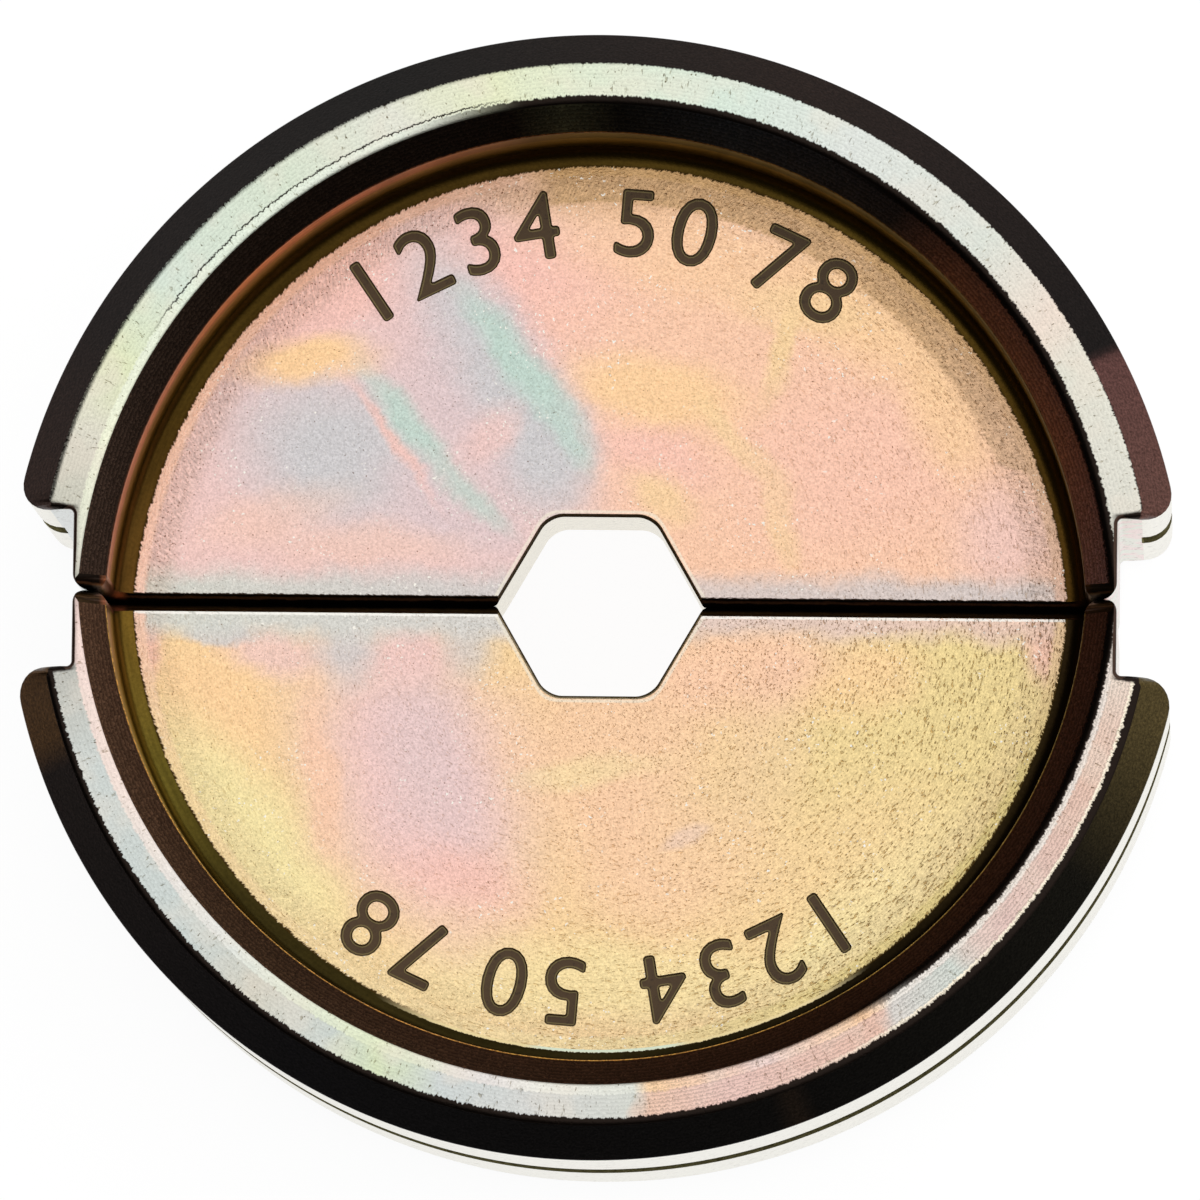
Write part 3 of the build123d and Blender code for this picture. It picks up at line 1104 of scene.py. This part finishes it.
def web_finish(name, side, look):
    """Web face: clouds of tint under fine speckle, turning marks, pale chips and a streaked edge."""
    finish = Finish(name, side)
    face = finish.wandering(finish.wandering(finish.place, 0.35, 1.3), 2.4, 0.4)
    across, up, depth = finish.parts(face)
    left, right, start, end = look["ground"]
    finish.shade = TINTS[left]
    finish.paint(finish.step(across, start, end), TINTS[right])
    for x, y, length, width, angle, soft, tint, amount in look["clouds"]:
        cloud = finish.patch(face, (x, y), (length, width), angle, soft)
        finish.paint(finish.times(cloud, amount), TINTS[tint])
    strip = finish.times(finish.below(finish.unsigned(up), 0.6, 1.7), 0.95)
    finish.paint(strip, finish.ramp(finish.x, look["strip"]))

    # The smooth band and the brown streaks where the web runs into its foot
    hair = finish.hair(9.0, 0.6)
    ragged = finish.shifted(finish.radius, hair, 0.2)
    widened = finish.plus(ragged, finish.times(finish.window(finish.angle, 24, 98, 4.0), 0.95))
    band = finish.times(finish.step(widened, FOOT_RADIUS - 0.6, FOOT_RADIUS - 0.35), 0.85)
    finish.paint(band, finish.ramp(finish.angle, look["web_edge"]))
    outer_part = finish.step(ragged, FOOT_RADIUS - 1.8, FOOT_RADIUS - 1.1)
    inside_band = finish.below(ragged, FOOT_RADIUS - 0.5, FOOT_RADIUS - 0.3)
    streaked = finish.times(finish.times(outer_part, inside_band), look["streaks"])
    finish.paint(streaked, finish.toned(finish.mix(0.3, finish.shade, STREAK_BROWN), hair, 1.3, 0.58))

    # Speckle all over, and turning marks that grow from left to right
    speckle = finish.noise(finish.place, 13.0, 1.0, 0.7)
    finish.tone(speckle, 1.14, 0.83)
    strokes = finish.strokes(0.3, 13.0, 1.0)
    strength = finish.scaled(finish.x, -9, 9, *look["marks"])
    finish.tone(strokes, 1.09, 0.9, strength)
    marked = finish.times(finish.step(strokes, 0.58, 0.74), strength)
    finish.stain(marked, TURNING_MARK)
    lines = finish.lines(0.13, strokes)
    finish.tone(lines, 0.88, 1.1, finish.times(strength, finish.step(finish.radius, 6.0, 17.0)))

    # Pits, and pale chips in clusters
    spots = finish.noise(finish.place, 10.0, 1.0, 0.75)
    finish.stain(finish.below(finish.minus(spots, finish.times(streaked, 0.08)), 0.24, 0.32), PIT)
    clusters = finish.step(finish.noise(finish.place, 0.7, 1.0), 0.5, 0.66)
    chips = finish.step(finish.noise(finish.place, 6.0, 1.0, 0.7), 0.66, 0.69)
    finish.paint(finish.times(chips, clusters), CHIP)

    # The edges round the crimping profile, along the split and at the foot, with painted highlights and
    # painted shade
    from_split = finish.unsigned(finish.y)
    from_axis = finish.unsigned(finish.x)
    slope = finish.plus(finish.times(from_axis, cos(radians(30))), finish.times(from_split, sin(radians(30))))
    inputs = {0: slope, 1: from_split, 2: 0.8}
    from_hexagon = finish.add("ShaderNodeMath", inputs, operation="SMOOTH_MAX")
    # Painted highlight in a thin line round the crimping profile
    highlight_start = HEXAGON_FLAT + 0.17
    hexagon_highlight = finish.window(finish.shifted(from_hexagon, hair, 0.05), highlight_start, highlight_start + 0.06, 0.05)
    finish.paint(finish.times(hexagon_highlight, 0.6), HEXAGON_HIGHLIGHT)
    # Painted shade where the web runs into the foot
    foot = finish.step(finish.shifted(finish.radius, hair, 0.16), FOOT_RADIUS - 0.1, FOOT_RADIUS - 0.03)
    if side > 0:
        # Painted shade along the upper half's edge at the split
        finish.paint(finish.below(finish.shifted(from_split, hair, 0.08), 0.36, 0.39), SPLIT_PAINTED_SHADE)
    else:
        # Painted highlight along the lower half's edge at the split
        glint = finish.times(finish.below(from_split, 0.42, 0.46), finish.step(hair, 0.34, 0.46))
        finish.paint(finish.times(glint, 0.85), SPLIT_GLINT)
        foot = finish.times(foot, finish.minus(1.0, finish.window(finish.angle, *BRIGHT_FOOT)))
    finish.paint(foot, FOOT_PAINTED_SHADE)

    finish.bump(finish.minus(finish.times(marked, -1.0), speckle), 0.01)
    return finish.done(finish.scaled(speckle, 0, 1, 0.26, 0.44))


def rim_finish(name, side, look):
    """Rim face and its roundings: silvery, finely scratched, with edges painted dark as shade or bright as a
    highlight.
    """
    finish = Finish(name, side)
    inner, outer = RIM_INNER_RADIUS, RIM_OUTER_RADIUS
    angle = finish.angle
    slow = finish.noise(finish.place, 0.5, 2.0)
    drift = finish.shifted(angle, slow, 3.5)
    hair = finish.hair(9.0)
    radius = finish.shifted(finish.radius, hair, 0.14)
    finish.shade = finish.ramp(drift, look["rim"])
    painted_sheen = finish.ramp(drift, look["inner_strip"])
    if side > 0:
        strip = finish.times(finish.step(angle, 98, 112), finish.below(radius, inner + 0.22, inner + 0.27))
        finish.paint(strip, painted_sheen)
        # Painted shade on the inner rounding, and a thin dark line beside the painted highlight
        inside = finish.times(finish.below(radius, inner + 0.18, inner + 0.24), finish.below(angle, 98, 114))
        line = finish.window(radius, inner + 0.29, inner + 0.32, 0.03)
        line = finish.times(line, finish.window(angle, 106, 142, 8.0))
        painted_shade = finish.either(finish.either(inside, line), finish.step(radius, outer + 0.02, outer + 0.09))
        lined = 0.3
    else:
        finish.paint(finish.below(radius, inner + 0.27, inner + 0.37), painted_sheen)
        cream = finish.times(finish.step(radius, outer - 0.34, outer - 0.3), finish.step(angle, 286, 312))
        finish.paint(cream, RIM_CREAM_EDGE)
        # Painted shade on the inner and outer roundings
        inside = finish.times(finish.below(radius, inner + 0.08, inner + 0.16), finish.step(angle, 296, 310))
        painted_shade = finish.either(inside, finish.step(radius, outer - 0.23, outer - 0.18))
        lined = finish.scaled(finish.step(angle, 274, 277), 0, 1, 0.3, 1.0)

    # Painted shade darkens the face where it rounds over into the end of a flange
    spread = finish.times(finish.minus(finish.radius, 20.1), 0.14)
    from_end = finish.minus(finish.unsigned(finish.y), spread)
    flange = finish.step(finish.unsigned(finish.x), NOTCH_WALL - 0.3, NOTCH_WALL + 0.1)
    end = finish.below(finish.shifted(from_end, hair, 0.06), NOTCH_HEIGHT + 0.08, NOTCH_HEIGHT + 0.2)
    painted_shade = finish.either(painted_shade, finish.times(end, flange))

    speckle = finish.grain(9.0)
    finish.tone(speckle, 1.1, 0.84)
    finish.paint(finish.times(finish.step(slow, 0.45, 0.65), 0.25), RIM_GLEAM)
    finish.tone(finish.lines(0.14, speckle), 0.74, 1.14, lined)
    scratched = finish.times(finish.step(hair, 0.62, 0.74), 0.75)
    finish.stain(scratched, RIM_SCRATCH)
    spots = finish.noise(finish.stretched(finish.turned, (1, 0.6, 1)), 8.0, 1.0, 0.6)
    finish.stain(finish.step(spots, 0.7, 0.75), RIM_SPOT)
    finish.paint(painted_shade, RIM_PAINTED_SHADE)
    finish.bump(finish.minus(finish.times(scratched, -1.0), speckle), 0.01)
    return finish.done()


def turned_finish(name, side, stops, contrast, black_from=None):
    """Turned surface: dark with painted shade on the chamfers, with fine broken lines round it; it may be
    painted black as shade on the right beyond a radius.
    """
    finish = Finish(name, side)
    grain = finish.noise(finish.place, 10.0, 2.0, 0.7)
    finish.shade = finish.ramp(finish.angle, stops)
    finish.tone(finish.lines(0.13, grain), 1 - contrast, 1 + contrast)
    finish.tone(grain, 0.5, 1.7)
    if black_from:
        beyond = finish.step(finish.shifted(finish.radius, grain, 0.2), black_from, black_from + 0.15)
        finish.paint(finish.times(beyond, finish.step(finish.x, 8, 12)), CHAMFER_PAINTED_SHADE)
    finish.bump(grain, 0.008)
    return finish.done()


def wall_finish(name, side, look):
    """Recess wall, painted lit on the left and shaded on the right, over its foot painted dark as shade."""
    finish = Finish(name, side)
    grain = finish.grain()
    from_middle = finish.unsigned(finish.minus(finish.z, MID_PLANE))
    above_web = finish.minus(from_middle, WEB_THICKNESS / 2)
    finish.shade = finish.ramp(finish.angle, look["foot"])
    up_wall = finish.step(finish.shifted(above_web, grain, 0.2), 0.6, 2.6)
    finish.paint(up_wall, finish.ramp(finish.angle, look["wall"]))
    # Painted sheen across the middle of the wall
    finish.paint(finish.times(finish.window(above_web, 0.8, 2.6, 0.5), 0.8), WALL_PAINTED_SHEEN)
    finish.tone(finish.strokes(0.06, 3.5), 0.72, 1.3)
    finish.tone(grain, 0.8, 1.2)
    if side < 0:
        low = finish.below(finish.shifted(finish.radius, grain, 0.06), FOOT_RADIUS + 0.08, FOOT_RADIUS + 0.12)
        finish.paint(finish.times(low, finish.window(finish.angle, *BRIGHT_FOOT)), FOOT_YELLOW)
        # Painted glint on the lower foot
        finish.paint(finish.times(low, finish.window(finish.angle, 264, 279, 3.0)), FOOT_GLINT)
    finish.bump(grain, 0.006)
    return finish.done(0.3, 1.0, finish.mix(0.4, WHITE, finish.shade))


def split_edge_finish(name, side, look):
    """Chamfers that meet at the split: painted shade at the seam, with a thin paler line in each."""
    finish = Finish(name, side)
    ragged = finish.noise(finish.stretched(finish.place, (0.4, 1, 1)), 3.0, 3.0, 0.6)
    from_split = finish.shifted(finish.unsigned(finish.y), ragged, 0.07)
    finish.shade = finish.ramp(from_split, look["split_edge"])
    # The wall ends are painted lit on the left and shaded on the right
    wall_end = finish.window(finish.unsigned(finish.x), WALL_RADIUS - 0.3, WALL_RADIUS - 0.05, 0.3)
    wall_end = finish.times(wall_end, finish.step(from_split, 0.05, 0.3))
    finish.paint(wall_end, finish.ramp(finish.x, WALL_END))
    grain = finish.grain()
    finish.tone(grain, 0.75, 1.25)
    finish.bump(grain, 0.006)
    return finish.done()


def hexagon_edge_finish(name, side, look):
    """Broken edge of the crimping profile, by how deep it lies below the web."""
    finish = Finish(name, side)
    ragged = finish.noise(finish.place, 3.0, 3.0, 0.6)
    from_middle = finish.unsigned(finish.minus(finish.z, MID_PLANE))
    depth = finish.shifted(finish.minus(WEB_THICKNESS / 2, from_middle), ragged, 0.05)
    finish.shade = finish.ramp(depth, look["hexagon_edge"])
    finish.tone(ragged, 0.8, 1.2)
    finish.bump(ragged, 0.01)
    return finish.done(0.4)


def plain_finish(name, side, shade, spots, roughness=0.3, metallic=1.0):
    """Machined zinc with a fine grain and small darker spots."""
    finish = Finish(name, side)
    grain = finish.grain()
    finish.shade = colour(*shade)
    finish.tone(grain, 0.88, 1.1)
    spotted = finish.step(finish.noise(finish.place, 3.5, 2.0, 0.7), 0.6, 0.68)
    finish.stain(finish.times(spotted, spots), ZINC_SPOT)
    finish.bump(grain, 0.006)
    return finish.done(roughness, metallic)


def notch_finish(name, side):
    """Pale faces of the notches, pinkish on the right."""
    finish = Finish(name, side)
    tint = finish.step(finish.noise(finish.place, 1.2, 2.0), 0.4, 0.6)
    finish.shade = NOTCH_GREY
    finish.paint(finish.step(finish.x, -1, 1), finish.mix(tint, NOTCH_PINK, NOTCH_CREAM))
    grain = finish.grain()
    finish.tone(grain, 0.86, 1.08)
    spotted = finish.step(finish.noise(finish.place, 4.5, 2.0, 0.7), 0.6, 0.68)
    finish.stain(finish.times(spotted, 0.8), NOTCH_SPOT)
    finish.bump(grain, 0.008)
    return finish.done(0.3)


# What sets the looks of the two halves apart. ground: the tints at the left and at the right, and the
# places between which one passes into the other; streaks: how strong the brown streaks at the foot are;
# marks: how strong the turning marks are at the left and at the right
UPPER_LOOK = {
    "ground": ("pink", "peach", -4, 3),
    "clouds": UPPER_CLOUDS,
    "streaks": 0.8,
    "marks": (0.1, 0.5),
    "strip": UPPER_STRIP,
    "web_edge": UPPER_WEB_EDGE,
    "rim": UPPER_RIM,
    "inner_strip": UPPER_INNER_STRIP,
    "outer_chamfer": UPPER_OUTER_CHAMFER,
    "inner_chamfer": UPPER_INNER_CHAMFER,
    "wall": UPPER_WALL,
    "wall_edge": UPPER_WALL_EDGE,
    "foot": UPPER_FOOT,
    "split_edge": UPPER_SPLIT_EDGE,
    "hexagon_edge": UPPER_HEXAGON_EDGE,
}
LOWER_LOOK = {
    "ground": ("yellow", "olive", 3, 14),
    "clouds": LOWER_CLOUDS,
    "streaks": 0.4,
    "marks": (0.3, 1.0),
    "strip": LOWER_STRIP,
    "web_edge": LOWER_WEB_EDGE,
    "rim": LOWER_RIM,
    "inner_strip": LOWER_INNER_STRIP,
    "outer_chamfer": LOWER_OUTER_CHAMFER,
    "inner_chamfer": LOWER_INNER_CHAMFER,
    "wall": LOWER_WALL,
    "wall_edge": LOWER_WALL_EDGE,
    "foot": LOWER_FOOT,
    "split_edge": LOWER_SPLIT_EDGE,
    "hexagon_edge": LOWER_HEXAGON_EDGE,
}

# Surfaces with the same plain finish on both halves: colour, strength of the spots, and where it isn't the
# usual one, roughness and how metallic it is
PLAIN_SURFACES = {
    "outer_side": ((246, 243, 232), 0.4, 0.28),
    "groove": ((112, 106, 72), 0.5),
    "broken_edge": ((70, 54, 46), 0.5),
    "split_face": ((150, 120, 90), 0.5),
    "crimping_profile": ((238, 232, 214), 0.3, 0.25),
    "engraving": ((82, 61, 36), 0.5, 0.5, 0.4),
    "engraving_line": ((122, 106, 64), 0.3, 0.5, 0.4),
    "engraving_edge": ((88, 70, 44), 0.3, 0.5, 0.4),
}


def half_materials(label, side, look):
    """Materials of one half, by surface."""
    rim = rim_finish(label + "_rim", side, look)
    outer_chamfer = turned_finish(label + "_outer_chamfer", side, look["outer_chamfer"], 0.1)
    inner_chamfer = turned_finish(label + "_inner_chamfer", side, look["inner_chamfer"], 0.4, BLACK_FROM)
    materials = {
        "rim_face": rim,
        "rim_edge": rim,
        "rim_end": rim,
        "web": web_finish(label + "_web", side, look),
        "recess_wall": wall_finish(label + "_wall", side, look),
        "chamfer_edge": turned_finish(label + "_chamfer_edge", side, look["wall_edge"], 0.5),
        "inner_chamfer": inner_chamfer,
        "outer_chamfer": outer_chamfer,
        "chamfer_end": outer_chamfer,
        "notch": notch_finish(label + "_notch", side),
        "split_edge": split_edge_finish(label + "_split_edge", side, look),
        "hexagon_edge": hexagon_edge_finish(label + "_hexagon_edge", side, look),
    }
    for name, values in PLAIN_SURFACES.items():
        materials[name] = plain_finish(label + "_" + name, side, *values)
    return materials


half = finished_half()
upper_materials = half_materials("upper", 1, UPPER_LOOK)
lower_materials = half_materials("lower", -1, LOWER_LOOK)
placed_half("upper_half", half, 0, upper_materials, "upper_die_half")
placed_half("lower_half", half, 180, lower_materials, "lower_die_half")
bpy.data.objects.remove(half)

# The camera looks down on the face, a little from the right and from below
CAMERA_PLACE = Vector((24.2, -56.9, 587.0)) * MILLIMETRE
AIM = Vector((0.24, -0.3, 16.0)) * MILLIMETRE
CAMERA_ROLL = radians(0.77)
CAMERA_LENS = 453.3
CAMERA_SENSOR = 36
CAMERA_NEAR = 0.01

# Floor: how much of what is seen of it is its own white, and how strong that white is
FLOOR_SIZE = 1.5
FLOOR_GAP = 0.02
FLOOR_SHARE = 0.88
FLOOR_STRENGTH = 1.06

# Cap of light: where its middle is, where it fades out, as the cosine of the angle from there, and
# how strong the light is below it and within it
LIGHT_MIDDLE = Vector((0.42, 0.30, 0.80)).normalized()
LIGHT_EDGE = (0.30, 0.70)
LIGHT_LEVELS = (0.05, 1.14)


def set_camera():
    """Long lens that looks at the middle of the front rim."""
    data = bpy.data.cameras.new("camera")
    data.lens = CAMERA_LENS
    data.sensor_width = CAMERA_SENSOR
    data.clip_start = CAMERA_NEAR
    camera = linked("camera", data)
    backward = (CAMERA_PLACE - AIM).normalized()
    sideways = Vector((0, 1, 0)).cross(backward).normalized()
    facing = Matrix((sideways, backward.cross(sideways), backward)).transposed().to_4x4()
    roll = Matrix.Rotation(CAMERA_ROLL, 4, "Z")
    camera.matrix_world = Matrix.Translation(CAMERA_PLACE) @ facing @ roll
    bpy.context.scene.camera = camera


def white_floor():
    """Large pale floor: white where it is seen or mirrored, with the object's shadow kept."""
    finish = Finish("white_floor")
    finish.done(1.0, 0.0)
    finish.shader.inputs["Specular IOR Level"].default_value = 0
    rays = finish.add("ShaderNodeLightPath").node.outputs
    seen = finish.either(rays["Is Camera Ray"], rays["Is Glossy Ray"])
    seen = finish.either(seen, rays["Is Transmission Ray"])
    share = finish.times(seen, FLOOR_SHARE)
    glow = finish.add("ShaderNodeEmission", {"Color": WHITE, "Strength": FLOOR_STRENGTH})
    surface_of_floor = finish.add("ShaderNodeMixShader", {0: share, 1: finish.shader.outputs[0], 2: glow})
    finish.tree.links.new(surface_of_floor, finish.tree.nodes["Material Output"].inputs["Surface"])
    bm = bmesh.new()
    bmesh.ops.create_grid(bm, x_segments=1, y_segments=1, size=FLOOR_SIZE)
    mesh = bpy.data.meshes.new("floor")
    bm.to_mesh(mesh)
    bm.free()
    mesh.materials.append(finish.material)
    floor = linked("floor", mesh)
    floor.location.z = -FLOOR_GAP * MILLIMETRE


def studio_light():
    """Bright cap of light over the object that leans to the right, above a darker horizon."""
    world = bpy.data.worlds.new("studio")
    bpy.context.scene.world = world
    world.use_nodes = True
    tree = world.node_tree
    direction = add_node(tree, "ShaderNodeTexCoord", output="Generated")
    inputs = {0: direction, 1: LIGHT_MIDDLE}
    towards = add_node(tree, "ShaderNodeVectorMath", inputs, "Value", operation="DOT_PRODUCT")
    inputs = dict(zip(("From Min", "From Max", "To Min", "To Max"), LIGHT_EDGE + LIGHT_LEVELS))
    inputs["Value"] = towards
    level = add_node(tree, "ShaderNodeMapRange", inputs, interpolation_type="SMOOTHSTEP")
    background = tree.nodes["Background"]
    background.inputs["Color"].default_value = WHITE
    tree.links.new(level, background.inputs["Strength"])


set_camera()
white_floor()
studio_light()
bpy.context.scene.view_settings.view_transform = "Standard"
